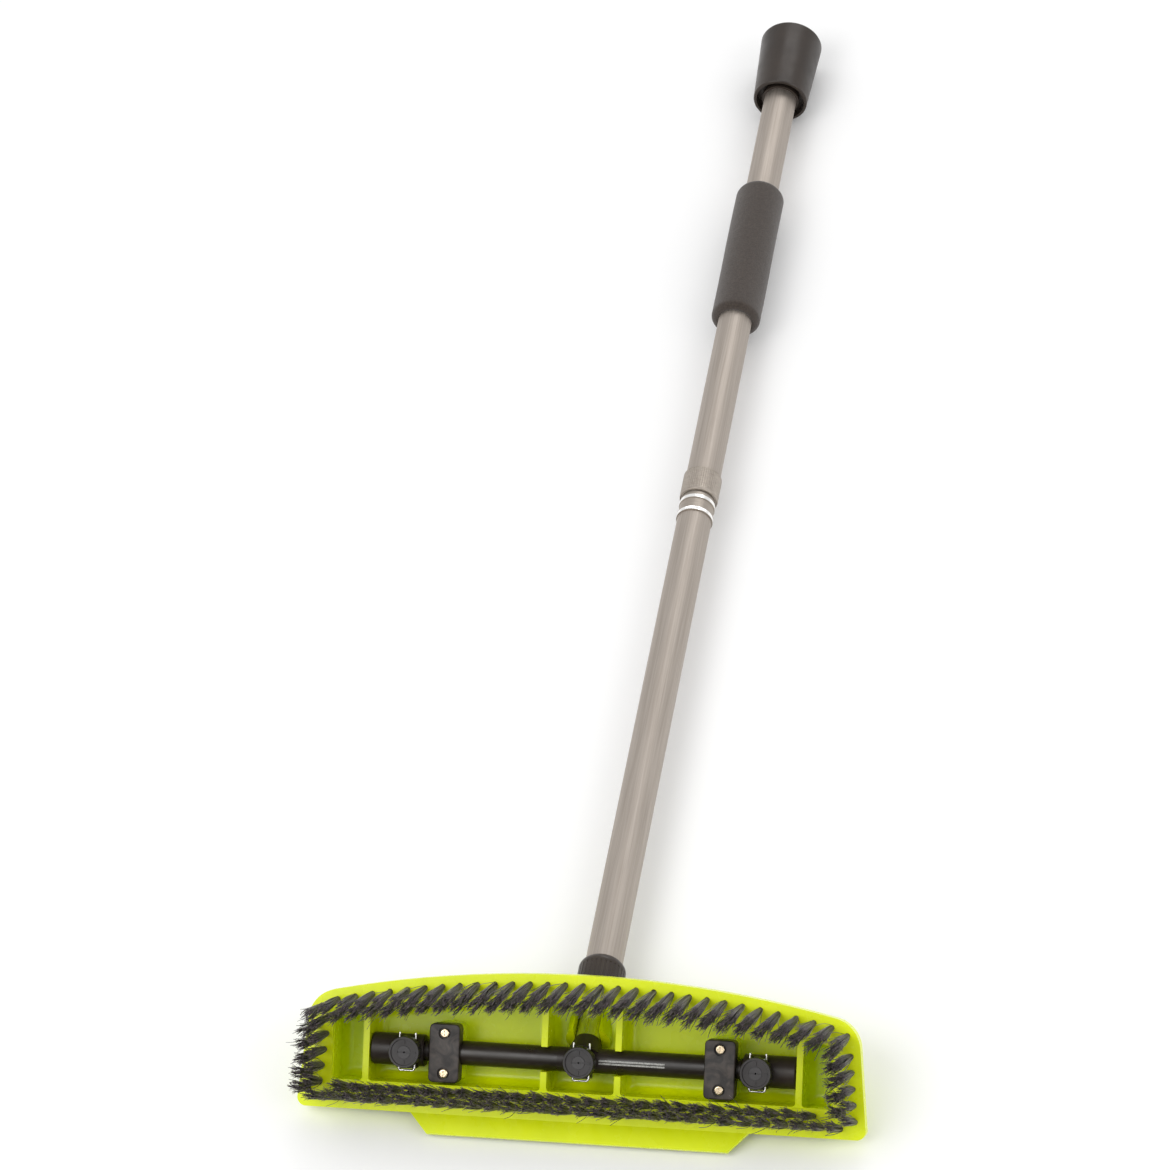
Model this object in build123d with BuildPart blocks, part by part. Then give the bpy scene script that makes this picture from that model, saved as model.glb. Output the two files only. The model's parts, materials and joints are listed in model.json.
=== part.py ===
from build123d import *
from math import cos, radians, sin, sqrt
import os

os.makedirs("parts", exist_ok=True)

# Flow-through brush and scraper on a two-piece pole, lying on the floor with its face up.
# The head rests on its back edge and the pole rests on the rim of the end cone.
# All sizes are millimetres. X runs along the head, Y runs up the pole, Z is up.

# ---------------------------------------------------------------- driving dimensions
face_lean = 48.25         # angle between the head's face and the vertical
pole_angle = 42.0         # angle between the pole and the head's face
face_y = -610.55          # where the middle of the flange's lower edge lies
face_z = 14.38

head_height = 115.0       # flange, from its straight lower edge to the top of its bow
base_half = 227.5         # half width at the lower corners
top_half = 218.3          # half width at the upper corners
top_corner = 89.0         # height of the upper corners
flange = 11.0             # thickness of the flange that holds the tufts
flange_width = 22.0       # from the outline to the recess
wall = 3.5
tray_depth = 38.0         # from the flange's front to the back of the tray
tray_corner = 9.0
bay_corner = 3.0
floor_round = 8.0
pocket_ledge = 0.5        # small step between the recess and its pockets
rib = 5.0
rib_setback = 3.0         # rib edges sit this far behind the flange's front
centre_rib = 29.5         # distance of the two centre ribs from the middle
outer_rib = 173.0         # distance of the two outer ribs from the middle

lip_length = 17.5
lip_thickness = 4.0
lip_turn = 20.0           # the lip's edge comes forward of the flange by this angle

bar_height = 47.5         # spray bar axis above the flange's lower edge
bar_depth = 16.0          # spray bar axis behind the flange's front
bar_radius = 9.7
bar_bore = 7.25
bar_end = 169.5
sleeve_radius = 12.7
nozzle_pitch = 140.0
clamp_place = 110.0
clamp_width = 24.5
clamp_length = 46.5
screw_offset = 15.9

tuft_inset = 8.0          # outer row of tufts, inside the outline
row_gap = 8.6
tuft_length = 48.0
tuft_root = 2.2
tuft_tip = 4.2
tuft_hole_depth = 8.8
tuft_root_depth = 8.4
tuft_lean = 7.4           # how far the tips of the long rows lean inwards
lean_centre = 53.0        # height at which the tufts stand straight

boss_radius = 11.0        # distances out of the bar's axis follow, nozzle by nozzle
boss_top = 12.8
lug_reach = 13.4
spigot_radius = 5.95
cap_radius = 12.6
clip_out = 11.6
clip_leg = 6.35           # half the gap between a clip's legs
clip_wire = 1.8
clip_top = 14.6
clip_bow = -15.1
clamp_top = 12.9
screw_sink = 2.2
neck_radius = 7.5
sleeve_start = 127.5
bar_tube_end = 112.0
tee_end = 20.0

tube_radius = 15.0
tube_wall = 1.2
pipe_radius = 10.0
socket_radius = 18.0
socket_start = 19.0
socket_step = 0.3         # the socket is this much thinner where it stands in the recess
mouth_length = 14.0       # thinner end of the socket, under the neck nut
mouth_radius = 16.8
pipe_start = 18.8         # distances along the pole from the spray bar's axis
pipe_end = 72.0
tube_start = 45.0
socket_end = 74.0
neck_top = 93.5
coupling_start = 578.5
coupling_end = 629.5
grip_start = 824.0
grip_end = 989.0
grip_radius = 22.0
cone_start = 1118.5
cone_end = 1198.5
cone_small = 25.2
cone_large = 28.8
spigot_fit = 13.2         # radius of the spigot that joins the two tubes
water_way = 10.5
coupling_nut_start = 602.5
nut_radius = 16.75
upper_tube_start = 615.0
upper_tube_end = 1150.0
hose_nut_end = 1184.0
hose_thread = 13.25       # minor radius of a 3/4 inch garden hose thread

# ---------------------------------------------------------------- reference planes
lean = radians(face_lean)
swing = radians(face_lean + pole_angle)

# The face plane: x to the right along the head, y up the face, z out of the face.
face = Plane(origin=(0, face_y, face_z), x_dir=(1, 0, 0), z_dir=(0, -cos(lean), sin(lean)))


def on_face(x, y, z=0.0):
    """A point given along, up and out of the head's face."""
    return face.from_local_coords((x, y, z))


bar_middle = on_face(0, bar_height, -bar_depth)

# The spray plane lies in the bar's axis and looks the way the nozzles spray.
spray = Plane(origin=bar_middle, x_dir=face.x_dir, z_dir=face.z_dir)

# The pole plane stands across the pole at the spray bar: z runs up the pole.
pole = Plane(origin=bar_middle, x_dir=(1, 0, 0), z_dir=(0, sin(swing), cos(swing)))

# The pole's long section: x away from the axis, y up the pole.
pole_side = Plane(origin=bar_middle, x_dir=(1, 0, 0), z_dir=pole.y_dir * -1)
pole_axis = Axis(bar_middle, pole.z_dir)

# The lip plane starts near the flange's lower edge; its y runs up the lip's front.
lip_plane = Plane(
    origin=on_face(0, 1.5, -0.6),
    x_dir=(1, 0, 0),
    z_dir=face.z_dir * cos(radians(lip_turn)) + face.y_dir * sin(radians(lip_turn)),
)

tray_floor = tray_depth - wall
tube_bore = tube_radius - tube_wall
spray_floor = tray_floor - bar_depth


def across_bar(distance, side=1):
    """Plane across the spray bar, its z pointing away from the middle on the given side."""
    return Plane(on_face(side * distance, bar_height, -bar_depth), x_dir=face.y_dir, z_dir=(side, 0, 0))


def across_nozzle(x, out):
    """Plane across a nozzle at a place along the bar, that far out of the bar's axis."""
    return Plane(on_face(x, bar_height, out - bar_depth), x_dir=face.x_dir, z_dir=face.z_dir)


def nozzle_section(x):
    """Plane through a nozzle's axis: x away from the axis, y out of the face."""
    return Plane(on_face(x, bar_height, -bar_depth), x_dir=face.x_dir, z_dir=face.y_dir * -1)


def nozzle_axis(x):
    return Axis(on_face(x, bar_height, -bar_depth), face.z_dir)


# ---------------------------------------------------------------- head moulding
bow_radius = (top_half ** 2 + (head_height - top_corner) ** 2) / (2 * (head_height - top_corner))


def bow_height(x, inset):
    """Height of the bowed upper edge, moved inwards by inset, at a place along the head."""
    radius = bow_radius - inset
    return head_height - bow_radius + sqrt(radius ** 2 - x ** 2)


def side_place(y, inset):
    """Distance of the sloping side edge from the middle at height y, moved inwards by inset."""
    return base_half - (base_half - top_half) * y / top_corner - inset


with BuildSketch() as outline:
    with BuildLine():
        bow = ThreePointArc((-top_half, top_corner), (0, head_height), (top_half, top_corner))
        Polyline(bow @ 1, (base_half, 0), (-base_half, 0), bow @ 0)
    make_face()
    fillet(outline.vertices().group_by(Axis.Y)[-1], 26)
    fillet(outline.vertices().group_by(Axis.Y)[0], 7)


def bay(left, right, inset=flange_width, corner=bay_corner):
    """Outline of one stretch of the recess, between two places along the head."""
    with BuildSketch() as stretch:
        with BuildLine():
            upper_right = (right, bow_height(right, inset))
            upper_left = (left, bow_height(left, inset))
            middle = (left + right) / 2
            ThreePointArc(upper_right, (middle, bow_height(middle, inset)), upper_left)
            Polyline(upper_left, (left, inset), (right, inset), upper_right)
        make_face()
        fillet(stretch.vertices(), corner)
    return stretch.sketch


recess_end = side_place(head_height / 2, flange_width)
pocket_end = recess_end - pocket_ledge
bays = [
    (-pocket_end, -outer_rib - rib / 2),
    (-outer_rib + rib / 2, -centre_rib - rib / 2),
    (-centre_rib + rib / 2, centre_rib - rib / 2),
    (centre_rib + rib / 2, outer_rib - rib / 2),
    (outer_rib + rib / 2, pocket_end),
]


def evenly(reach, count):
    """Places from -reach to reach, evenly spaced."""
    return [reach * (2 * index / (count - 1) - 1) for index in range(count)]


def midway(places):
    """Places halfway between neighbours, where the inner row stands."""
    return [(first + second) / 2 for first, second in zip(places, places[1:])]


top_places = evenly(197, 29)
bottom_places = evenly(207, 30)
side_heights = [14 + 12.6 * index for index in range(5)]
inner_inset = tuft_inset + row_gap

tuft_rows = {
    "top_outer": [(x, bow_height(x, tuft_inset)) for x in top_places],
    "top_inner": [(x, bow_height(x, inner_inset)) for x in midway(top_places)],
    "bottom_outer": [(x, tuft_inset) for x in bottom_places],
    "bottom_inner": [(x, inner_inset) for x in midway(bottom_places)[1:-1]],
}
for side_name, side in (("left", -1), ("right", 1)):
    outer = [(side * side_place(y, tuft_inset), y) for y in side_heights]
    inner = [(side * side_place(y, inner_inset), y) for y in midway(side_heights)]
    tuft_rows[f"{side_name}_outer"] = outer + [(side * 209.5, 80)]
    tuft_rows[f"{side_name}_inner"] = inner + [(side * 204.5, 71.5)]
tuft_places = [place for row in tuft_rows.values() for place in row]


def pocket(left, right):
    """The hollow of one bay, rounded where its walls meet the floor."""
    with BuildPart() as space:
        with BuildSketch(face.offset(-tray_floor)):
            add(bay(left, right, flange_width + pocket_ledge))
        extrude(amount=tray_floor)
        floor_edges = space.edges().filter_by_position(
            Axis(face.origin, face.z_dir), -tray_floor - 0.01, -tray_floor + 0.01
        )
        fillet(floor_edges, floor_round)
    return space.part


# the hollow of the recess: the saddles under the clamps and the pole's socket stand in it
with BuildPart() as hollow:
    for left, right in bays:
        add(pocket(left, right))
    with BuildSketch(face.offset(-rib_setback)):
        add(bay(-recess_end, recess_end))
    extrude(amount=rib_setback)
    with BuildSketch(spray.offset(-spray_floor - 0.5)):
        with Locations((-clamp_place, 0), (clamp_place, 0)):
            RectangleRounded(clamp_width - 1, clamp_length - 1, 4)
    extrude(amount=spray_floor, mode=Mode.SUBTRACT)
    with BuildSketch(pole.offset(socket_start)):
        Circle(socket_radius - socket_step)
    extrude(amount=socket_end - mouth_length - socket_start, mode=Mode.SUBTRACT)
    # room for the back of the spray tee
    with BuildSketch(pole.offset(13)):
        Circle(12.5)
    extrude(amount=socket_start - 13)

with BuildPart() as head_shell:
    # flange all round
    with BuildSketch(face.offset(-flange)):
        add(outline.sketch)
    extrude(amount=flange)
    # blind holes for the tufts
    with BuildSketch(face.offset(-tuft_hole_depth)):
        with Locations(*tuft_places):
            Circle(tuft_root + 0.05)
    extrude(amount=tuft_hole_depth, mode=Mode.SUBTRACT)
    # tray behind the recess
    with BuildSketch(face.offset(-tray_depth)):
        add(bay(-recess_end - wall, recess_end + wall, flange_width - wall, tray_corner))
    extrude(amount=tray_depth - flange)
    back_edges = head_shell.edges().filter_by_position(
        Axis(face.origin, face.z_dir), -tray_depth - 0.01, -tray_depth + 0.01
    )
    fillet(back_edges, 4)
    # round socket for the pole, through the back of the tray
    with BuildSketch(pole.offset(socket_start)):
        Circle(socket_radius)
    extrude(amount=socket_end - mouth_length - socket_start)
    with BuildSketch(pole.offset(socket_end - mouth_length)):
        Circle(mouth_radius)
    extrude(amount=mouth_length)
    # web that braces the socket against the tray
    with BuildSketch(across_bar(0)):
        with BuildLine():
            Polyline((-18, -spray_floor - 1), (22, -spray_floor - 1), (48, -46), (32, -52), close=True)
        make_face()
    extrude(amount=3, both=True)
    # recess in the front
    add(hollow.part, mode=Mode.SUBTRACT)
    # scraper lip below the flange, turned a little forwards
    with BuildSketch(lip_plane):
        with BuildLine():
            Polyline((-136, 0), (136, 0), (120, -lip_length), (-120, -lip_length), close=True)
        make_face()
    extrude(amount=-lip_thickness)
    # channels for the spray bar: two saddles and the two centre ribs
    with BuildSketch(across_bar(0)):
        Circle(bar_radius + 0.15)
        with Locations((0, bar_depth / 2)):
            Rectangle(2 * bar_radius + 0.3, bar_depth)
    extrude(amount=bar_end - 20, both=True, mode=Mode.SUBTRACT)
    # bores of the socket, and the window in its front that shows the feed pipe
    with BuildSketch(pole.offset(13)):
        Rectangle(2 * pipe_radius + 0.8, socket_radius + 0.5, align=(Align.CENTER, Align.MAX))
    extrude(amount=28, mode=Mode.SUBTRACT)
    with BuildSketch(pole.offset(10)):
        Circle(pipe_radius + 0.3)
    extrude(amount=40, mode=Mode.SUBTRACT)
    with BuildSketch(pole.offset(tube_start - 0.5)):
        Circle(tube_radius + 0.25)
    extrude(amount=60, mode=Mode.SUBTRACT)
    # pilot holes for the clamp screws
    with BuildSketch(spray.offset(-spray_floor + 2)):
        for side in (-1, 1):
            with Locations((side * clamp_place, screw_offset), (side * clamp_place, -screw_offset)):
                Circle(1.95)
    extrude(amount=spray_floor, mode=Mode.SUBTRACT)
head_shell.part.label = "head_shell"
export_step(head_shell.part, "parts/head_shell.step")


# ---------------------------------------------------------------- bristle tufts
def tuft(x, y):
    """One tuft: a straight root in its hole, then a cone that widens to the tips.

    The tips lean towards the middle height of the head, and a little to the left.
    """
    lean_x = -1.5 - 1.5 * x / base_half
    lean_y = tuft_lean * (lean_centre - y) / (lean_centre - tuft_inset)
    with BuildPart() as piece:
        with BuildSketch(face.offset(-tuft_root_depth)):
            with Locations((x, y)):
                Circle(tuft_root)
        extrude(amount=tuft_root_depth)
        with BuildSketch(face):
            with Locations((x, y)):
                Circle(tuft_root)
        with BuildSketch(face.offset(tuft_length)):
            with Locations((x + lean_x, y + lean_y)):
                Circle(tuft_tip)
        loft()
    return piece.part


for row_name, places in tuft_rows.items():
    tuft_row = Compound([tuft(x, y) for x, y in places])
    tuft_row.label = f"tufts_{row_name}"
    export_step(tuft_row, f"parts/{tuft_row.label}.step")

# flat wire anchors at the bottom of the tuft holes
with BuildPart() as tuft_anchors:
    with BuildSketch(face.offset(-tuft_hole_depth)):
        with Locations(*tuft_places):
            Rectangle(4.0, 1.2)
    extrude(amount=0.35)
tuft_anchors.part.label = "tuft_anchors"
export_step(tuft_anchors.part, "parts/tuft_anchors.step")


# ---------------------------------------------------------------- spray bar
def nozzle_boss(x):
    """Boss that carries a nozzle: round with a flat lug below."""
    with BuildPart() as boss:
        with BuildSketch(across_nozzle(x, 0)):
            Circle(boss_radius)
            Rectangle(14.4, lug_reach, align=(Align.CENTER, Align.MAX))
        extrude(amount=boss_top)
    return boss.part


def nozzle_hollow(x):
    """Bore for the nozzle body's spigot, and the slots for the two legs of the clip."""
    with BuildPart() as hollow:
        with BuildSketch(across_nozzle(x, 3)):
            Circle(spigot_radius + 0.15)
        extrude(amount=boss_top)
        with BuildSketch(across_nozzle(x, clip_out - 1.1)):
            with Locations((-clip_leg, 0), (clip_leg, 0)):
                Rectangle(2.2, 40)
        extrude(amount=2.3)
    return hollow.part


with BuildPart() as spray_tee:
    # conical branch towards the pole, cut flat behind the clip
    with BuildSketch(pole.offset(1)):
        Circle(16)
    with BuildSketch(pole.offset(pipe_start - 0.3)):
        Circle(pipe_radius + 0.4)
    loft()
    split(bisect_by=across_nozzle(0, 9.5), keep=Keep.BOTTOM)
    # barrel along the bar, with a thinner insert at each end
    with BuildSketch(across_bar(0)):
        Circle(bar_radius)
    extrude(amount=tee_end, both=True)
    with BuildSketch(across_bar(0)):
        Circle(bar_bore - 0.05)
    extrude(amount=tee_end + 16, both=True)
    add(nozzle_boss(0))
    # spigot for the feed pipe, with its seal groove
    with BuildSketch(pole_side):
        with BuildLine():
            Polyline(
                (0, 10), (8.5, 10), (8.5, 27), (7.2, 27), (7.2, 29.4), (8.5, 29.4), (8.5, 37), (0, 37), close=True
            )
        make_face()
    revolve(axis=pole_axis)
    # water ways
    with BuildSketch(across_bar(0)):
        Circle(4.5)
    extrude(amount=tee_end + 16, both=True, mode=Mode.SUBTRACT)
    with BuildSketch(pole):
        Circle(5)
    extrude(amount=37, mode=Mode.SUBTRACT)
    add(nozzle_hollow(0), mode=Mode.SUBTRACT)
spray_tee.part.label = "spray_tee"
export_step(spray_tee.part, "parts/spray_tee.step")

with BuildPart() as pipe_seal:
    with BuildSketch(pole_side):
        with Locations((7.9, 28.2)):
            Circle(0.65)
    revolve(axis=pole_axis)
pipe_seal.part.label = "pipe_seal"
export_step(pipe_seal.part, "parts/pipe_seal.step")

for side_name, side in (("left", -1), ("right", 1)):
    with BuildPart() as bar_tube:
        with BuildSketch(across_bar(tee_end, side)):
            Circle(bar_radius)
            Circle(bar_bore, mode=Mode.SUBTRACT)
        extrude(amount=bar_tube_end - tee_end)
    bar_tube.part.label = f"bar_tube_{side_name}"
    export_step(bar_tube.part, f"parts/{bar_tube.part.label}.step")

    with BuildPart() as end_fitting:
        with BuildSketch(across_bar(bar_tube_end - 16, side)):
            Circle(bar_bore - 0.05)
        extrude(amount=16)
        with BuildSketch(across_bar(bar_tube_end, side)):
            Circle(neck_radius)
        extrude(amount=sleeve_start - bar_tube_end)
        with BuildSketch(across_bar(sleeve_start - 3.4, side)):
            Circle(neck_radius + 0.9)
        extrude(amount=1.4)
        with BuildSketch(across_bar(sleeve_start, side)):
            Circle(sleeve_radius)
        extrude(amount=bar_end - sleeve_start)
        chamfer(end_fitting.edges().filter_by(GeomType.CIRCLE).sort_by(SortBy.RADIUS)[-2:], 0.8)
        add(nozzle_boss(side * nozzle_pitch))
        with BuildSketch(across_bar(bar_tube_end - 16, side)):
            Circle(4.5)
        extrude(amount=nozzle_pitch - bar_tube_end + 22, mode=Mode.SUBTRACT)
        add(nozzle_hollow(side * nozzle_pitch), mode=Mode.SUBTRACT)
    end_fitting.part.label = f"end_fitting_{side_name}"
    export_step(end_fitting.part, f"parts/{end_fitting.part.label}.step")

# ---------------------------------------------------------------- nozzles
for nozzle_name, x in (("left", -nozzle_pitch), ("centre", 0), ("right", nozzle_pitch)):
    with BuildPart() as nozzle_body:
        with BuildSketch(nozzle_section(x)):
            with BuildLine():
                Polyline(
                    (2.5, 3.6),
                    (spigot_radius, 3.6),
                    (spigot_radius, 5.9),
                    (4.9, 5.9),
                    (4.9, 8.1),
                    (spigot_radius, 8.1),
                    (spigot_radius, clip_out - 1.1),
                    (clip_leg - 1.05, clip_out - 1.1),
                    (clip_leg - 1.05, clip_out + 1.2),
                    (8.3, clip_out + 1.4),
                    (8.3, 18.4),
                    (2.5, 18.4),
                    close=True,
                )
            make_face()
        revolve(axis=nozzle_axis(x))
    nozzle_body.part.label = f"nozzle_body_{nozzle_name}"
    export_step(nozzle_body.part, f"parts/{nozzle_body.part.label}.step")

    with BuildPart() as nozzle_seal:
        with BuildSketch(nozzle_section(x)):
            with Locations((5.5, 7)):
                Circle(0.58)
        revolve(axis=nozzle_axis(x))
    nozzle_seal.part.label = f"nozzle_seal_{nozzle_name}"
    export_step(nozzle_seal.part, f"parts/{nozzle_seal.part.label}.step")

    with BuildPart() as nozzle_gasket:
        with BuildSketch(across_nozzle(x, 18.45)):
            Circle(7.4)
            Circle(2.6, mode=Mode.SUBTRACT)
        extrude(amount=0.95)
    nozzle_gasket.part.label = f"nozzle_gasket_{nozzle_name}"
    export_step(nozzle_gasket.part, f"parts/{nozzle_gasket.part.label}.step")

    # fan tip: a flange held by the cap and a round nose with a slot
    with BuildPart() as nozzle_tip:
        with BuildSketch(across_nozzle(x, 19.4)):
            Circle(7.5)
        extrude(amount=1.2)
        with BuildSketch(across_nozzle(x, 20.6)):
            Circle(5.1)
        extrude(amount=2.6)
        with BuildSketch(across_nozzle(x, 19.4)):
            Circle(0.7)
        extrude(amount=5, mode=Mode.SUBTRACT)
        with BuildSketch(across_nozzle(x, 22.2)):
            Rectangle(12, 1.2)
        extrude(amount=2, mode=Mode.SUBTRACT)
    nozzle_tip.part.label = f"nozzle_tip_{nozzle_name}"
    export_step(nozzle_tip.part, f"parts/{nozzle_tip.part.label}.step")

    with BuildPart() as nozzle_cap:
        with BuildSketch(nozzle_section(x)):
            with BuildLine():
                Polyline(
                    (8.6, 13.4),
                    (12.0, 13.4),
                    (cap_radius, 14.2),
                    (cap_radius, 23.0),
                    (12.0, 24.0),
                    (10.5, 24.0),
                    (10.2, 22.8),
                    (5.25, 22.8),
                    (5.25, 20.65),
                    (8.6, 20.65),
                    close=True,
                )
            make_face()
        revolve(axis=nozzle_axis(x))
        # finger scallops round the edge
        with BuildSketch(across_nozzle(x, 13.4)):
            with PolarLocations(cap_radius + 0.9, 12, start_angle=15):
                Circle(1.5)
        extrude(amount=11, mode=Mode.SUBTRACT)
        # raised ticks at the top, the side and the bottom
        with BuildSketch(across_nozzle(x, 22.8)):
            with Locations((0, 7.8), (0, -7.8)):
                Rectangle(1.3, 3)
            with Locations((7.8, 0)):
                Rectangle(3, 1.3)
        extrude(amount=0.7)
    nozzle_cap.part.label = f"nozzle_cap_{nozzle_name}"
    export_step(nozzle_cap.part, f"parts/{nozzle_cap.part.label}.step")

    # wire clip: two legs through the boss and a bow under its lug
    with BuildPart() as nozzle_clip:
        with BuildLine(across_nozzle(x, clip_out)) as wire_path:
            FilletPolyline(
                (-clip_leg, clip_top), (-clip_leg, clip_bow), (clip_leg, clip_bow), (clip_leg, clip_top), radius=2
            )
        with BuildSketch(Plane(wire_path.line @ 0, z_dir=wire_path.line % 0)):
            Circle(clip_wire / 2)
        sweep()
    nozzle_clip.part.label = f"nozzle_clip_{nozzle_name}"
    export_step(nozzle_clip.part, f"parts/{nozzle_clip.part.label}.step")

# ---------------------------------------------------------------- clamps
for side_name, x in (("left", -clamp_place), ("right", clamp_place)):
    with BuildPart() as clamp_plate:
        with BuildSketch(across_nozzle(x, 0.6)):
            RectangleRounded(clamp_width, clamp_length, 4)
        extrude(amount=clamp_top - 0.6)
        fillet(clamp_plate.faces().sort_by(nozzle_axis(x))[-1].edges(), 1.2)
        with BuildSketch(across_bar(0)):
            Circle(bar_radius + 0.1)
        extrude(amount=200, both=True, mode=Mode.SUBTRACT)
        with BuildSketch(across_nozzle(x, 0)):
            with Locations((0, screw_offset), (0, -screw_offset)):
                Circle(2.0)
        extrude(amount=20, mode=Mode.SUBTRACT)
        with BuildSketch(across_nozzle(x, clamp_top - screw_sink)):
            with Locations((0, screw_offset), (0, -screw_offset)):
                Circle(5.0)
        extrude(amount=5, mode=Mode.SUBTRACT)
    clamp_plate.part.label = f"clamp_plate_{side_name}"
    export_step(clamp_plate.part, f"parts/{clamp_plate.part.label}.step")

# pan head screws with a cross recess
with BuildPart() as clamp_screws:
    screw_places = [(x, y) for x in (-clamp_place, clamp_place) for y in (-screw_offset, screw_offset)]
    with BuildSketch(across_nozzle(0, -14)):
        with Locations(*screw_places):
            Circle(1.9)
    extrude(amount=14 + clamp_top - screw_sink)
    with BuildSketch(across_nozzle(0, clamp_top - screw_sink)):
        with Locations(*screw_places):
            Circle(3.7)
    extrude(amount=2.4)
    crowns = clamp_screws.faces().group_by(nozzle_axis(0))[-1]
    fillet(crowns.edges(), 1.1)
    with BuildSketch(across_nozzle(0, clamp_top - screw_sink + 1.1)):
        with Locations(*screw_places):
            Rectangle(4.4, 0.9)
            Rectangle(0.9, 4.4)
    extrude(amount=3, mode=Mode.SUBTRACT)
clamp_screws.part.label = "clamp_screws"
export_step(clamp_screws.part, "parts/clamp_screws.step")

# ---------------------------------------------------------------- lower pole
with BuildPart() as feed_pipe:
    with BuildSketch(pole.offset(pipe_start)):
        Circle(pipe_radius)
        Circle(pipe_radius - 1.4, mode=Mode.SUBTRACT)
    extrude(amount=pipe_end - pipe_start)
feed_pipe.part.label = "feed_pipe"
export_step(feed_pipe.part, "parts/feed_pipe.step")

with BuildPart() as pole_plug:
    with BuildSketch(pole.offset(tube_start + 1)):
        Circle(tube_bore - 0.05)
        Circle(pipe_radius + 0.05, mode=Mode.SUBTRACT)
    extrude(amount=30)
    with BuildSketch(pole.offset(pipe_end)):
        Circle(tube_bore - 0.05)
        Circle(pipe_radius - 1.4, mode=Mode.SUBTRACT)
    extrude(amount=4)
pole_plug.part.label = "pole_plug"
export_step(pole_plug.part, "parts/pole_plug.step")

with BuildPart() as lower_tube:
    with BuildSketch(pole.offset(tube_start)):
        Circle(tube_radius)
        Circle(tube_bore, mode=Mode.SUBTRACT)
    extrude(amount=coupling_start - tube_start)
lower_tube.part.label = "lower_tube"
export_step(lower_tube.part, "parts/lower_tube.step")

# split ring that the neck nut squeezes onto the tube
with BuildPart() as neck_collet:
    with BuildSketch(pole_side):
        with BuildLine():
            Polyline(
                (tube_radius + 0.03, socket_end + 0.2),
                (16.6, socket_end + 0.2),
                (16.6, 82),
                (15.7, 86),
                (tube_radius + 0.03, 86),
                close=True,
            )
        make_face()
    revolve(axis=pole_axis)
    with BuildSketch(pole.offset(socket_end)):
        Rectangle(1.2, 40, align=(Align.CENTER, Align.MIN))
    extrude(amount=15, mode=Mode.SUBTRACT)
neck_collet.part.label = "neck_collet"
export_step(neck_collet.part, "parts/neck_collet.step")

with BuildPart() as neck_nut:
    with BuildSketch(pole_side):
        with BuildLine():
            Polyline((15.9, neck_top), (15.3, neck_top), (15.3, 86.8), (16, 86.6), (17.1, 82.3), (17.1, 61))
            Polyline((17.1, 61), (18.4, 61), (19, 61.8), (19, 86.5))
            ThreePointArc((19, 86.5), (18.1, 91), (15.9, neck_top))
        make_face()
    revolve(axis=pole_axis)
    with BuildSketch(pole.offset(61)):
        with PolarLocations(19.6, 30):
            Circle(1.0)
    extrude(amount=25, mode=Mode.SUBTRACT)
neck_nut.part.label = "neck_nut"
export_step(neck_nut.part, "parts/neck_nut.step")

# ---------------------------------------------------------------- coupling between the two tubes
with BuildPart() as lower_ferrule:
    with BuildSketch(pole_side):
        with BuildLine():
            Polyline(
                (water_way, 560),
                (tube_bore - 0.05, 560),
                (tube_bore - 0.05, coupling_start),
                (15.9, coupling_start),
                (15.9, 580),
                (15.1, 581),
                (15.9, 582),
                (15.9, 583.5),
                (15.0, 583.5),
                (15.0, 593),
                (15.6, 593.2),
                (15.6, 597.8),
                (14.6, 598),
                (14.6, 602.8),
                (15.6, 603.2),
                (15.6, 608.4),
                (spigot_fit, 608.4),
                (spigot_fit, 615.8),
                (12.1, 615.8),
                (12.1, 618.2),
                (spigot_fit, 618.2),
                (spigot_fit, 623.4),
                (12.6, 624),
                (water_way, 624),
                close=True,
            )
        make_face()
    revolve(axis=pole_axis)
lower_ferrule.part.label = "lower_ferrule"
export_step(lower_ferrule.part, "parts/lower_ferrule.step")

with BuildPart() as coupling_seal:
    with BuildSketch(pole_side):
        with Locations((12.68, 617)):
            Circle(0.55)
    revolve(axis=pole_axis)
coupling_seal.part.label = "coupling_seal"
export_step(coupling_seal.part, "parts/coupling_seal.step")

with BuildPart() as upper_ferrule:
    with BuildSketch(pole_side):
        with BuildLine():
            Polyline(
                (spigot_fit + 0.1, 609.2),
                (15.75, 609.2),
                (15.75, upper_tube_start),
                (tube_bore - 0.05, upper_tube_start),
                (tube_bore - 0.05, 640),
                (water_way, 640),
                (water_way, 625),
                (spigot_fit + 0.1, 625),
                close=True,
            )
        make_face()
    revolve(axis=pole_axis)
upper_ferrule.part.label = "upper_ferrule"
export_step(upper_ferrule.part, "parts/upper_ferrule.step")

with BuildPart() as coupling_nut:
    with BuildSketch(pole_side):
        with BuildLine():
            Polyline(
                (15.95, coupling_nut_start),
                (16.1, coupling_nut_start),
                (nut_radius, 604),
                (nut_radius, 628.6),
                (16.0, coupling_end),
                (15.2, coupling_end),
                (15.2, 615.4),
                (15.95, 615.4),
                close=True,
            )
        make_face()
    revolve(axis=pole_axis)
    # straight knurl
    with BuildSketch(pole.offset(605)):
        with PolarLocations(nut_radius + 0.25, 56):
            Circle(0.55)
    extrude(amount=23, mode=Mode.SUBTRACT)
coupling_nut.part.label = "coupling_nut"
export_step(coupling_nut.part, "parts/coupling_nut.step")

# ---------------------------------------------------------------- upper pole
with BuildPart() as upper_tube:
    with BuildSketch(pole.offset(upper_tube_start)):
        Circle(tube_radius)
        Circle(tube_bore, mode=Mode.SUBTRACT)
    extrude(amount=upper_tube_end - upper_tube_start)
upper_tube.part.label = "upper_tube"
export_step(upper_tube.part, "parts/upper_tube.step")

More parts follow.
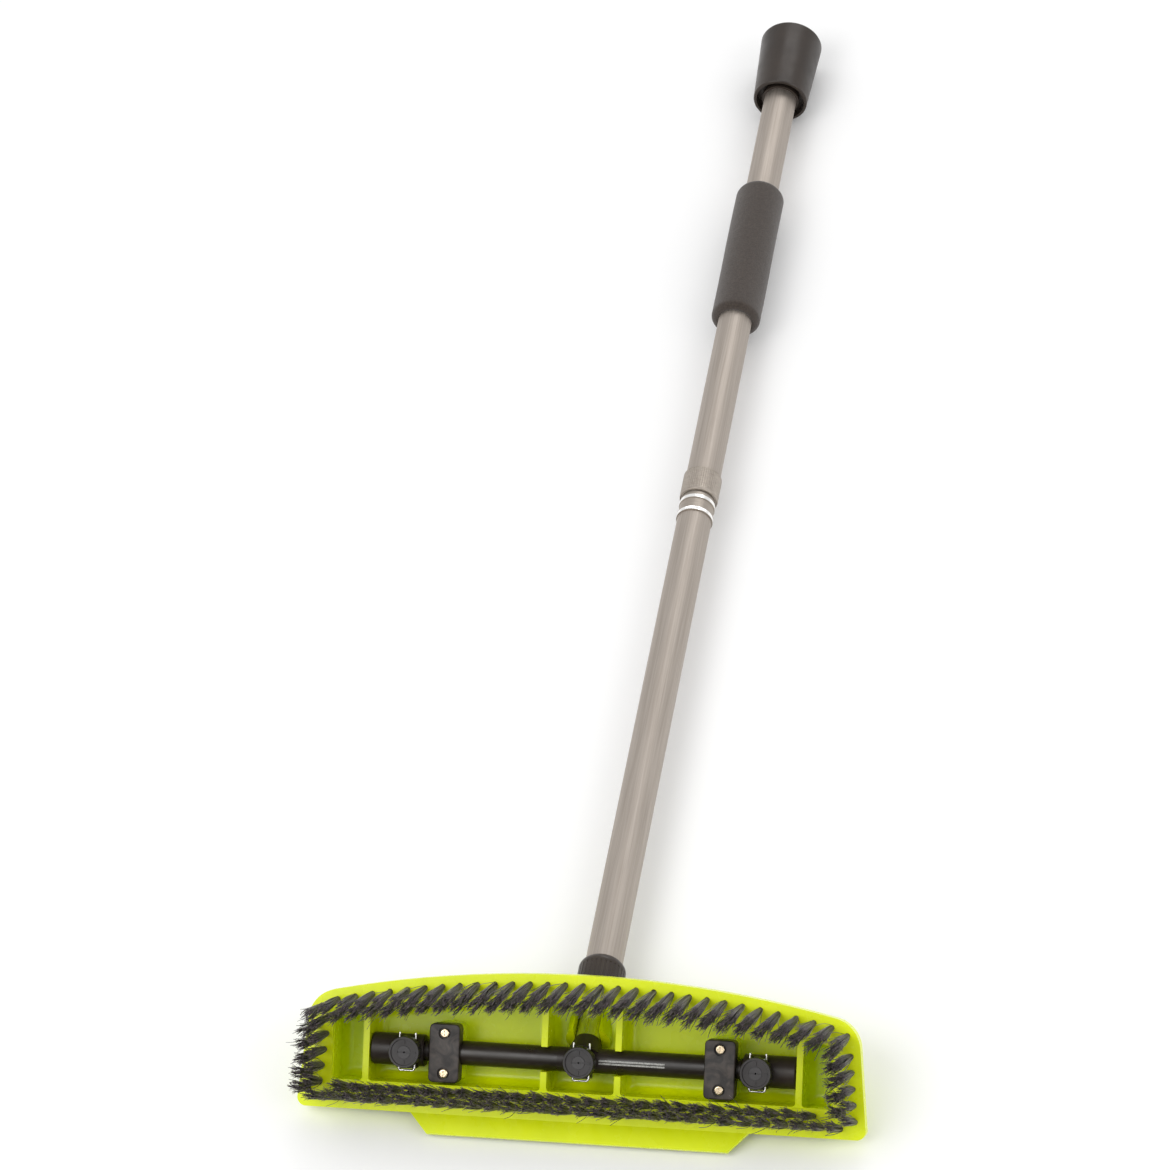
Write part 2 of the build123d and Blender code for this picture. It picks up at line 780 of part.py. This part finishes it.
with BuildPart() as foam_grip:
    with BuildSketch(pole.offset(grip_start)):
        Circle(grip_radius)
    extrude(amount=grip_end - grip_start)
    fillet(foam_grip.edges(), 6)
    with BuildSketch(pole.offset(grip_start)):
        Circle(tube_radius)
    extrude(amount=grip_end - grip_start, mode=Mode.SUBTRACT)
foam_grip.part.label = "foam_grip"
export_step(foam_grip.part, "parts/foam_grip.step")

with BuildPart() as end_cone:
    with BuildSketch(pole_side):
        with BuildLine():
            Polyline(
                (tube_radius + 0.02, 1120),
                (17.2, 1120),
                (17.2, 1127),
                (22.4, 1127),
                (22.4, cone_start),
                (24.4, cone_start),
                (cone_small, cone_start + 1),
                (cone_large, cone_end - 1.6),
                (28.0, cone_end),
                (25.8, cone_end),
                (24.9, cone_end - 1.2),
                (23.4, upper_tube_end),
                (tube_radius + 0.02, upper_tube_end),
                close=True,
            )
        make_face()
    revolve(axis=pole_axis)
end_cone.part.label = "end_cone"
export_step(end_cone.part, "parts/end_cone.step")

# ---------------------------------------------------------------- hose inlet, inside the end cone
with BuildPart() as inlet_adapter:
    with BuildSketch(pole_side):
        with BuildLine():
            Polyline(
                (6.5, 1122),
                (tube_bore - 0.05, 1122),
                (tube_bore - 0.05, upper_tube_end),
                (17.4, upper_tube_end),
                (17.4, 1153.5),
                (8.9, 1153.5),
                (8.9, 1164),
                (11.4, 1164),
                (11.4, 1167.5),
                (6.5, 1167.5),
                close=True,
            )
        make_face()
    revolve(axis=pole_axis)
inlet_adapter.part.label = "inlet_adapter"
export_step(inlet_adapter.part, "parts/inlet_adapter.step")

with BuildPart() as hose_nut:
    with BuildSketch(pole_side):
        with BuildLine():
            Polyline(
                (9.2, 1158),
                (16, 1158),
                (17, 1159),
                (17, hose_nut_end - 1),
                (16, hose_nut_end),
                (hose_thread, hose_nut_end),
                (hose_thread, 1170.7),
                (13, 1170.7),
                (13, 1162.2),
                (9.2, 1162.2),
                close=True,
            )
        make_face()
    revolve(axis=pole_axis)
    # grip ridges
    with BuildSketch(pole.offset(1158)):
        with PolarLocations(17.2, 12):
            Circle(1.5)
    extrude(amount=hose_nut_end - 1160, mode=Mode.SUBTRACT)
hose_nut.part.label = "hose_nut"
export_step(hose_nut.part, "parts/hose_nut.step")

with BuildPart() as hose_washer:
    with BuildSketch(pole.offset(1167.6)):
        Circle(12.9)
        Circle(6.5, mode=Mode.SUBTRACT)
    extrude(amount=3)
hose_washer.part.label = "hose_washer"
export_step(hose_washer.part, "parts/hose_washer.step")

with BuildPart() as inlet_screen:
    with BuildSketch(pole.offset(1168.7)):
        Circle(6.5)
        with HexLocations(1.1, 5, 5):
            Circle(0.6, mode=Mode.SUBTRACT)
    extrude(amount=0.5)
inlet_screen.part.label = "inlet_screen"
export_step(inlet_screen.part, "parts/inlet_screen.step")
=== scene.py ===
import json
from math import cos, pi, radians, sin

import bpy
import numpy as np
from mathutils import Euler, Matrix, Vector


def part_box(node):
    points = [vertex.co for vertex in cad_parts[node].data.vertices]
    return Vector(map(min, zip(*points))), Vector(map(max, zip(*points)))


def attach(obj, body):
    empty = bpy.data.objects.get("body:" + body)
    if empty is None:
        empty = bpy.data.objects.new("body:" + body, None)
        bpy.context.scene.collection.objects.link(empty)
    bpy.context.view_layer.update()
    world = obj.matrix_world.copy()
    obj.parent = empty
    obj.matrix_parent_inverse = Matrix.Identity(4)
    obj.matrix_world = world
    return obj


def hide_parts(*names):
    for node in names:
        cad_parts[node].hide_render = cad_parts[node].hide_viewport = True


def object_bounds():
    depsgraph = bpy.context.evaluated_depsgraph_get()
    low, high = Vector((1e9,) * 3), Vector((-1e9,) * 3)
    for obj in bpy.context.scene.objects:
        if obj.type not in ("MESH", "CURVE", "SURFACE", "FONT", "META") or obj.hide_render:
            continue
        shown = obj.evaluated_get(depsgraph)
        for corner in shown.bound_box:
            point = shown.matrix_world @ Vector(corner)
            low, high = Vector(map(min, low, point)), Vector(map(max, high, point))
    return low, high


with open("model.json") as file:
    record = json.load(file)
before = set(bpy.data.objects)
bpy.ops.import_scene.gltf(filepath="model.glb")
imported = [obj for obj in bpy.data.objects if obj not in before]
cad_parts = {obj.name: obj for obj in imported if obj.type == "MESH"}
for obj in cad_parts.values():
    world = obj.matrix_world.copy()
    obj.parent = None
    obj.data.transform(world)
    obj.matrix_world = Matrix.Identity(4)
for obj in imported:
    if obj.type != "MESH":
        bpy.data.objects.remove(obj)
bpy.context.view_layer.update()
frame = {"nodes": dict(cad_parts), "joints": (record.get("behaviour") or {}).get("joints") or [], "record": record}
record = frame["record"]
joints = {joint["name"]: joint for joint in frame["joints"]}
random = np.random.default_rng(7)

# ---------------------------------------------------------------- directions and places, from the record
out = np.array(joints["cap_centre_turn"]["axis"])        # out of the head's face
up_face = -np.array(joints["clip_centre_pull"]["axis"])  # up the face
along = np.array([1.0, 0.0, 0.0])                        # along the head
pole = np.array(joints["neck_nut_turn"]["axis"])
pole_point = np.array(joints["neck_nut_turn"]["pos_m"])
bar_radius = 0.0097
cap_height = 0.018                                       # from the bar's axis out to a cap's joint
bar_centre = np.array(joints["cap_centre_turn"]["pos_m"]) - cap_height * out


# ---------------------------------------------------------------- materials
class Shader:
    """A Principled material with a few helpers for its procedural nodes."""

    def __init__(self, name, **inputs):
        self.material = bpy.data.materials.new(name)
        self.material.use_nodes = True
        self.tree = self.material.node_tree
        self.surface = self.tree.nodes["Principled BSDF"]
        self.coordinates = self.node("ShaderNodeTexCoord").outputs["Object"]
        self.bumps = []
        for key, value in inputs.items():
            self.surface.inputs[key.replace("_", " ")].default_value = value

    def node(self, kind, **sockets):
        made = self.tree.nodes.new(kind)
        for key, value in sockets.items():
            made.inputs[key.replace("_", " ")].default_value = value
        return made

    def link(self, source, target):
        self.tree.links.new(source, target)

    def noise(self, scale, detail=3.0, stretch=(1, 1, 1), distortion=0.0):
        """Noise in the object's own coordinates, stretched along an axis where that number is small."""
        mapping = self.node("ShaderNodeMapping")
        mapping.inputs["Scale"].default_value = stretch
        texture = self.node("ShaderNodeTexNoise", Scale=scale, Detail=detail, Distortion=distortion)
        self.link(self.coordinates, mapping.inputs["Vector"])
        self.link(mapping.outputs["Vector"], texture.inputs["Vector"])
        return texture.outputs["Fac"]

    def cells(self, scale):
        """Distance from the nearest of many scattered points, like the pores of a foam."""
        texture = self.node("ShaderNodeTexVoronoi", Scale=scale)
        self.link(self.coordinates, texture.inputs["Vector"])
        return texture.outputs["Distance"]

    def spread(self, source, low, high, start=0.3, end=0.7):
        """Carries source from its start..end to low..high."""
        ramp = self.node("ShaderNodeMapRange")
        for key, value in (("From Min", start), ("From Max", end), ("To Min", low), ("To Max", high)):
            ramp.inputs[key].default_value = value
        self.link(source, ramp.inputs["Value"])
        return ramp.outputs["Result"]

    def colour(self, source, dark, light, start=0.3, end=0.7):
        """The base colour, from dark to light as source runs from start to end."""
        ramp = self.node("ShaderNodeValToRGB")
        ramp.color_ramp.elements[0].position = start
        ramp.color_ramp.elements[0].color = (*dark, 1)
        ramp.color_ramp.elements[1].position = end
        ramp.color_ramp.elements[1].color = (*light, 1)
        self.link(source, ramp.inputs["Fac"])
        self.link(ramp.outputs["Color"], self.surface.inputs["Base Color"])

    def rough(self, source, low, high):
        """The roughness, between low and high."""
        self.link(self.spread(source, low, high), self.surface.inputs["Roughness"])

    def bump(self, source, distance, strength=1.0):
        """Adds one more layer of relief, its height in metres."""
        layer = self.node("ShaderNodeBump", Strength=strength, Distance=distance)
        self.link(source, layer.inputs["Height"])
        if self.bumps:
            self.link(self.bumps[-1].outputs["Normal"], layer.inputs["Normal"])
        self.link(layer.outputs["Normal"], self.surface.inputs["Normal"])
        self.bumps.append(layer)


materials = {}


def skin(made, rough, grain, relief):
    """The surface of moulded plastic: slow waviness under fine grain."""
    made.rough(made.noise(60.0, 5.0), *rough)
    made.bump(made.noise(16.0, 2.0), 0.0003, 0.35)
    made.bump(made.noise(grain, 2.0), relief, 0.6)


def moulded(name, dark, light, rough, grain=1400.0, relief=0.00002, **inputs):
    """Injection-moulded plastic, faintly cloudy in colour."""
    made = Shader(name, **inputs)
    made.colour(made.noise(22.0, 4.0), dark, light)
    skin(made, rough, grain, relief)
    materials[name] = made.material


def metal(name, dark, light, rough, stretch, grain=900.0, relief=0.00001):
    """Metal with tool marks drawn out along the direction of its making."""
    made = Shader(name, Metallic=1.0)
    marks = made.noise(grain, 4.0, stretch)
    made.colour(marks, dark, light)
    made.rough(made.noise(grain / 3, 4.0, stretch), *rough)
    made.bump(marks, relief, 0.5)
    materials[name] = made.material
    return made


translucent = {"Subsurface_Weight": 0.12, "Subsurface_Radius": (0.8, 1.0, 0.1), "Subsurface_Scale": 0.003}
moulded(
    "lime_plastic", (0.66, 0.77, 0.0), (0.73, 0.83, 0.001), (0.2, 0.32), 1800.0,
    Specular_IOR_Level=0.34, **translucent,
)
moulded(
    "black_plastic", (0.020, 0.0145, 0.0115), (0.036, 0.026, 0.020), (0.3, 0.46), 1500.0, 0.00003,
    Specular_IOR_Level=0.35,
)
moulded("bar_tube", (0.013, 0.0095, 0.0065), (0.024, 0.0175, 0.012), (0.26, 0.4), 1100.0)
moulded("cap_plastic", (0.013, 0.011, 0.0105), (0.034, 0.028, 0.027), (0.36, 0.55), 1300.0, 0.00005)
moulded("tip_plastic", (0.030, 0.028, 0.028), (0.050, 0.045, 0.045), (0.35, 0.5))
moulded("seal_rubber", (0.012, 0.012, 0.012), (0.03, 0.03, 0.03), (0.6, 0.8), 900.0, 0.00005)

lengthwise = (1.0, 0.015, 1.0)
roundwise = (0.2, 1.0, 0.2)
metal("pole_aluminium", (0.38, 0.335, 0.295), (0.47, 0.42, 0.375), (0.46, 0.6), lengthwise)
metal("feed_aluminium", (0.8, 0.8, 0.78), (0.92, 0.92, 0.9), (0.24, 0.34), lengthwise, 700.0)
metal("nut_aluminium", (0.33, 0.29, 0.25), (0.47, 0.42, 0.37), (0.36, 0.5), roundwise, 1200.0)
metal("clip_steel", (0.7, 0.68, 0.66), (0.86, 0.85, 0.83), (0.12, 0.22), (0.1, 1.0, 0.1), 1800.0)
metal("screw_brass", (0.62, 0.48, 0.30), (0.86, 0.74, 0.55), (0.14, 0.3), (1.0, 1.0, 1.0), 1500.0)
metal("anchor_wire", (0.5, 0.5, 0.5), (0.7, 0.7, 0.7), (0.3, 0.4), (1.0, 0.1, 1.0))


def polish_rings(made, first_middle, second_middle, half_width):
    """Two polished rings over a brushed metal, each around its middle along the pole."""
    split = made.node("ShaderNodeSeparateXYZ")
    made.link(made.coordinates, split.inputs["Vector"])
    either = made.node("ShaderNodeMath")
    either.operation = "MAXIMUM"
    for index, middle in enumerate((first_middle, second_middle)):
        mask = made.node("ShaderNodeMath")
        mask.operation = "COMPARE"
        mask.inputs[1].default_value = middle
        mask.inputs[2].default_value = half_width
        made.link(split.outputs["Y"], mask.inputs[0])
        made.link(mask.outputs["Value"], either.inputs[index])
    ring_looks = {"Base Color": (0.95, 0.94, 0.92, 1), "Roughness": (0.22, 0.22, 0.22, 1)}
    for socket_name, polished in ring_looks.items():
        mix = made.node("ShaderNodeMix")
        mix.data_type = "RGBA"
        before = made.surface.inputs[socket_name].links[0].from_socket
        made.link(either.outputs["Value"], mix.inputs["Factor"])
        made.link(before, mix.inputs[6])
        mix.inputs[7].default_value = polished
        made.link(mix.outputs[2], made.surface.inputs[socket_name])


# The collar is brushed, with one polished ring over its groove and one over its first ridge.
brushed = (0.05, 1.0, 0.05)
collar = metal("collar_aluminium", (0.34, 0.30, 0.26), (0.45, 0.40, 0.35), (0.4, 0.5), brushed, 1500.0)
collar_hidden = 0.0185        # length of the lower ferrule before its visible collar
collar_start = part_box("lower_ferrule")[0].y + collar_hidden
polish_rings(collar, collar_start + 0.0024, collar_start + 0.0170, 0.0017)

foam = Shader("foam", Specular_IOR_Level=0.25, Sheen_Weight=0.25, Sheen_Roughness=0.6)
foam.colour(foam.noise(700.0, 5.0), (0.024, 0.0165, 0.0125), (0.050, 0.036, 0.028))
foam.rough(foam.noise(200.0), 0.8, 0.95)
foam.bump(foam.noise(45.0, 3.0), 0.0006, 0.5)
foam.bump(foam.cells(1500.0), 0.00022, 0.8)
materials["foam"] = foam.material

bristle = Shader("bristle", Specular_IOR_Level=0.6, Sheen_Weight=0.15)
tone = bristle.node("ShaderNodeAttribute")
tone.attribute_name = "tone"
# Tone runs the bristle colour from dark to light; its rise towards the tips is a painted highlight.
bristle.colour(tone.outputs["Fac"], (0.016, 0.012, 0.0115), (0.21, 0.165, 0.175), 0.0, 1.0)
bristle.rough(bristle.noise(900.0), 0.32, 0.5)
bristle.bump(bristle.noise(2500.0), 0.00003, 0.5)
materials["bristle"] = bristle.material

print_grey = Shader("print_grey")
print_grey.colour(print_grey.noise(900.0, 4.0), (0.20, 0.20, 0.18), (0.46, 0.46, 0.43), 0.35, 0.6)
print_grey.rough(print_grey.noise(500.0), 0.4, 0.6)

slots = {part["node"]: part["material_slot"] for part in record["subparts"]}
for name, piece in frame["nodes"].items():
    piece.data.materials.clear()
    piece.data.materials.append(materials[slots[name]])

# The clamp plates are scuffed, with pale smears over the black.
scuffed = Shader("clamp_plastic")
smears = scuffed.noise(95.0, 9.0, distortion=1.2)
scuffed.colour(smears, (0.016, 0.012, 0.010), (0.085, 0.066, 0.054), 0.42, 0.78)
skin(scuffed, (0.34, 0.6), 1300.0, 0.00006)
for name in ("clamp_plate_left", "clamp_plate_right"):
    frame["nodes"][name].data.materials[0] = scuffed.material


# ---------------------------------------------------------------- mesh helpers
def make_piece(name, points, faces, material, smooth=True, tones=None):
    """A mesh object in the scene; tones, one for each point, drive the bristle colour."""
    mesh = bpy.data.meshes.new(name)
    mesh.from_pydata([tuple(point) for point in points], [], faces)
    mesh.materials.append(material)
    mesh.polygons.foreach_set("use_smooth", [smooth] * len(mesh.polygons))
    if tones is not None:
        mesh.attributes.new("tone", "FLOAT", "POINT").data.foreach_set("value", tones)
    mesh.update()
    piece = bpy.data.objects.new(name, mesh)
    bpy.context.scene.collection.objects.link(piece)
    return piece


def loose_solids(piece):
    """The points of each separate solid in a mesh."""
    mesh = piece.data
    points = np.array([vertex.co for vertex in mesh.vertices])
    _, same = np.unique(np.round(points, 6), axis=0, return_inverse=True)
    same = same.ravel()
    parent = np.arange(same.max() + 1)

    def root(index):
        while parent[index] != index:
            parent[index] = parent[parent[index]]
            index = parent[index]
        return index

    for edge in mesh.edges:
        first, second = (root(same[index]) for index in edge.vertices)
        parent[first] = second
    groups = {}
    for index, place in enumerate(same):
        groups.setdefault(root(place), []).append(index)
    return [points[members] for members in groups.values()]


same_level = 0.0002           # points this close in height belong to the same end


def tuft_ends(points):
    """Where a tuft leaves the face, and the middle of its tips."""
    height = points @ out
    foot = points[height < height.min() + same_level].mean(0)
    tip = points[height > height.max() - same_level].mean(0)
    return foot, tip


# ---------------------------------------------------------------- bristles
filaments = 84
rings = 7
sides = 3
root_spread = 0.0021
tip_spread = 0.0058
thickness = 0.00029
hidden_root = 0.0062          # left out at the foot of a tuft, inside its hole
clump_count = 5
clump_pull = 0.4              # how far a tip moves to its nearest clump
stray_share = 0.12            # share of filaments that stand out of the tuft
stray_size = 0.0028
bend_size = 0.0005
fray_size = 0.0011


def clump_places():
    """Where the tips of one tuft gather, in the plane of the face."""
    first_turn = random.uniform(0, 2 * pi)
    places = []
    for index in range(clump_count):
        angle = first_turn + index * 2 * pi / clump_count + random.uniform(-0.4, 0.4)
        places.append(tip_spread * random.uniform(0.3, 0.9) * np.array([cos(angle), sin(angle)]))
    return places


def build_filament(start, length, clumps):
    """Points and tones of one filament, ring by ring from its root to its tip."""
    points, tones = [], []
    angle = random.uniform(0, 2 * pi)
    reach = random.uniform(0, 1) ** 0.5
    direction = np.array([cos(angle), sin(angle)])
    root = root_spread * reach * direction
    end = tip_spread * reach * direction * random.uniform(0.65, 1.1)
    nearest = min(clumps, key=lambda clump: np.sum((clump - end) ** 2))
    end = end * (1 - clump_pull) + nearest * clump_pull
    if random.uniform(0, 1) < stray_share:
        end = end + random.normal(0, stray_size, 2)
    bend = random.normal(0, bend_size, 2)
    fray = random.normal(0, fray_size, 2)
    scale = random.uniform(0.9, 1.01)
    shade = random.beta(1.5, 3.0)
    radius = thickness * random.uniform(0.75, 1.2)
    turn = random.uniform(0, 2 * pi)
    for ring in range(rings):
        share = ring / (rings - 1)
        fan = share ** 0.8
        flat = root * (1 - fan) + end * fan + bend * sin(pi * share) + fray * share ** 5
        centre = start + length * share * scale + flat[0] * along + flat[1] * up_face
        size = radius * (1 - 0.3 * share ** 3)
        for side in range(sides):
            spin = turn + 2 * pi * side / sides
            points.append(centre + size * (cos(spin) * along + sin(spin) * up_face))
            # On top of each filament's own random tone, the tone rises from root to tip: painted shade at the
            # roots packed in the tuft, painted highlight at the tips.
            tones.append(min(1.0, shade * (0.5 + 0.65 * share)))
    return points, tones


def build_tuft(foot, tip):
    """The filaments of one tuft: tight in the hole, fanned out, clumped and frayed at the tips."""
    start = foot + hidden_root * out
    clumps = clump_places()
    points, tones = [], []
    for _ in range(filaments):
        filament_points, filament_tones = build_filament(start, tip - start, clumps)
        points += filament_points
        tones += filament_tones
    return points, tones


def tube_faces(count):
    """Faces of count filaments, each a tapering tube closed at its tip."""
    faces = []
    for first in range(0, count * rings * sides, rings * sides):
        for ring in range(rings - 1):
            low = first + ring * sides
            for side in range(sides):
                after = (side + 1) % sides
                faces.append((low + side, low + after, low + sides + after, low + sides + side))
        last = first + (rings - 1) * sides
        faces.append(tuple(range(last, last + sides)))
    return faces


for name in [name for name, slot in slots.items() if slot == "bristle"]:
    points, tones = [], []
    solids = loose_solids(frame["nodes"][name])
    for solid in solids:
        tuft_points, tuft_tones = build_tuft(*tuft_ends(solid))
        points += tuft_points
        tones += tuft_tones
    row = name.removeprefix("tufts_")
    faces = tube_faces(len(solids) * filaments)
    bristles = make_piece(f"bristles_{row}", points, faces, materials["bristle"], tones=tones)
    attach(bristles, "head")
    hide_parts(name)

# ---------------------------------------------------------------- foam grip
across = np.cross(pole, along)
grip_low, grip_high = (np.array(corner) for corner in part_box("foam_grip"))
grip_radius = (grip_high[0] - grip_low[0]) / 2
grip_start = (grip_low[1] - pole_point[1]) / pole[1]
grip_end = (grip_high[1] - pole_point[1]) / pole[1]
tube_radius = 0.01505
grip_turns = 96
grip_rings = 60
edge = 0.006                  # radius of the rounded ends
edge_steps = 8
swell = 0.00018               # how far the foam is out of round
pitting = 0.00004


def grip_outline():
    """Half section of the grip, from bore to bore, as pairs of radius and place along the pole."""
    outline = [(tube_radius, grip_start)]
    quarter = [index * pi / 2 / edge_steps for index in range(edge_steps + 1)]
    for angle in quarter:
        outline.append((grip_radius - edge + edge * sin(angle), grip_start + edge - edge * cos(angle)))
    for place in np.linspace(grip_start + edge, grip_end - edge, grip_rings)[1:-1]:
        outline.append((grip_radius, place))
    for angle in quarter:
        outline.append((grip_radius - edge + edge * cos(angle), grip_end - edge + edge * sin(angle)))
    outline.append((tube_radius, grip_end))
    return outline


outline = grip_outline()
grip_points = []
for index, (radius, place) in enumerate(outline):
    for turn in range(grip_turns):
        angle = 2 * pi * turn / grip_turns
        uneven = 0.0
        if 0 < index < len(outline) - 1:
            uneven = swell * sin(3 * angle + 41 * place) + random.normal(0, pitting)
        spoke = cos(angle) * along + sin(angle) * across
        grip_points.append(pole_point + place * pole + (radius + uneven) * spoke)
grip_faces = []
for ring in range(len(outline)):
    low = ring * grip_turns
    high = (ring + 1) % len(outline) * grip_turns
    for turn in range(grip_turns):
        after = (turn + 1) % grip_turns
        grip_faces.append((low + turn, high + turn, high + after, low + after))
grip = make_piece("grip_foam", grip_points, grip_faces, materials["foam"])
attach(grip, "upper_pole")
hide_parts("foam_grip")


# ---------------------------------------------------------------- plain print on the spray bar
stripe_start = 0.0135
stripe_end = 0.066
stripe_angle = 8              # degrees round the bar
stripe_lift = 0.00006


def bar_stripe(start, end, low, high):
    """A curved strip on the bar, between two places along it and two angles round it, in degrees."""
    points, faces = [], []
    steps, arcs = 24, 5
    for step in range(steps + 1):
        place = start + (end - start) * step / steps
        for arc in range(arcs + 1):
            angle = radians(low + (high - low) * arc / arcs)
            spoke = cos(angle) * out + sin(angle) * up_face
            points.append(bar_centre + place * along + (bar_radius + stripe_lift) * spoke)
    for step in range(steps):
        for arc in range(arcs):
            first = step * (arcs + 1) + arc
            faces.append((first, first + arcs + 1, first + arcs + 2, first + 1))
    return make_piece(f"print_line_{round(low)}".replace("-", "m"), points, faces, print_grey.material)


for low_angle in (-10, 3):
    stripe = bar_stripe(stripe_start, stripe_end, low_angle, low_angle + stripe_angle)
    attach(stripe, "head")

# ---------------------------------------------------------------- floor, light and camera
floor_shader = Shader("floor")
floor_shader.colour(floor_shader.noise(1.5), (0.86, 0.86, 0.86), (0.88, 0.88, 0.88))
floor_shader.rough(floor_shader.noise(3.0), 0.7, 0.8)
floor_half = 14
floor_gap = 0.0003
floor_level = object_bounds()[0].z - floor_gap
floor_signs = ((-1, -1), (1, -1), (1, 1), (-1, 1))
floor_corners = [(x * floor_half, y * floor_half, floor_level) for x, y in floor_signs]
floor = make_piece("floor", floor_corners, [(0, 1, 2, 3)], floor_shader.material, smooth=False)

world = bpy.data.worlds.new("studio")
world.use_nodes = True
background = world.node_tree.nodes["Background"]
background.inputs["Color"].default_value = (1.0, 1.0, 1.0, 1.0)
background.inputs["Strength"].default_value = 0.82
bpy.context.scene.world = world


def area_light(name, place, target, size, power):
    """A rectangular light of the given size in metres, turned to its target."""
    data = bpy.data.lights.new(name, "AREA")
    data.shape = "RECTANGLE"
    data.size, data.size_y = size
    data.energy = power
    light = bpy.data.objects.new(name, data)
    light.location = place
    light.rotation_euler = (Vector(target) - Vector(place)).to_track_quat("-Z", "Y").to_euler()
    bpy.context.scene.collection.objects.link(light)


area_light("key", (-1.6, -2.2, 3.2), (0, -0.3, 0), (2.4, 2.4), 62)
area_light("fill", (2.8, -1.6, 2.4), (0, -0.2, 0), (2.4, 2.4), 30)
area_light("rim", (0.6, 3.0, 2.2), (0, 0.2, 0), (2.4, 1.2), 22)

camera_data = bpy.data.cameras.new("camera")
camera_data.lens = 145.8
camera = bpy.data.objects.new("camera", camera_data)
camera.location = (0.7355, -2.7037, 3.0051)
camera.rotation_euler = Euler((radians(42.42), radians(7.13), radians(9.50)))
bpy.context.scene.collection.objects.link(camera)
bpy.context.scene.camera = camera
bpy.context.scene.view_settings.view_transform = "Standard"
